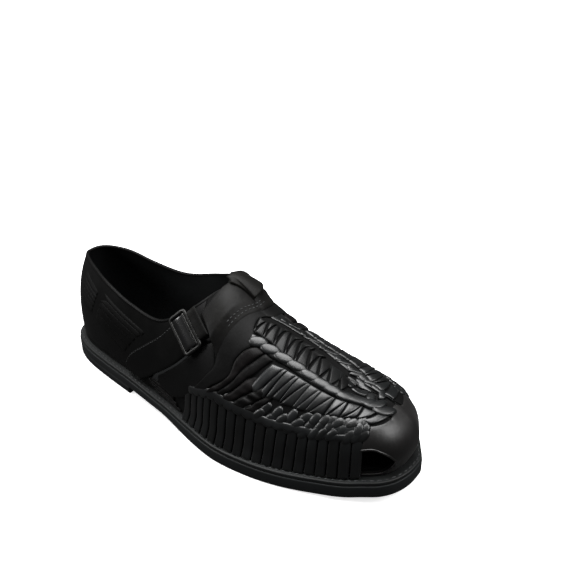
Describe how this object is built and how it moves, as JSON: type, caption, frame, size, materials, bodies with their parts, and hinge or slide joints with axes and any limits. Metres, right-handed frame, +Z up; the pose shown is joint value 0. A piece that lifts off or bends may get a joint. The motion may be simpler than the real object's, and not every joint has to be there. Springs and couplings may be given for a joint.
{
  "type": "huarache sandal",
  "caption": "Closed-toe woven leather huarache sandal for the right foot, with a buckled instep strap, side cut-outs, a welt and a rubber sole with a low heel.",
  "frame": {"origin": "centre of the bounding box at the ground under the sole", "axes": "+Y towards the toe, +X towards the outer side of the right foot, +Z up"},
  "size_m": [0.1029, 0.295, 0.1023],
  "materials": {
    "sole_rubber": "matt dark grey rubber",
    "welt_leather": "satin dark edge",
    "insole_leather": "matt black lining leather",
    "upper_leather": "semi-gloss black leather",
    "strap_leather": "semi-gloss black leather",
    "buckle_metal": "dark satin metal"
  },
  "bodies": {
    "root": {"outsole": "sole_rubber", "midsole": "welt_leather", "insole": "insole_leather", "upper": "upper_leather", "quarter_tab": "strap_leather", "instep_strap": "strap_leather", "instep_sleeve": "strap_leather", "buckle": "buckle_metal"}
  },
  "joints": []
}
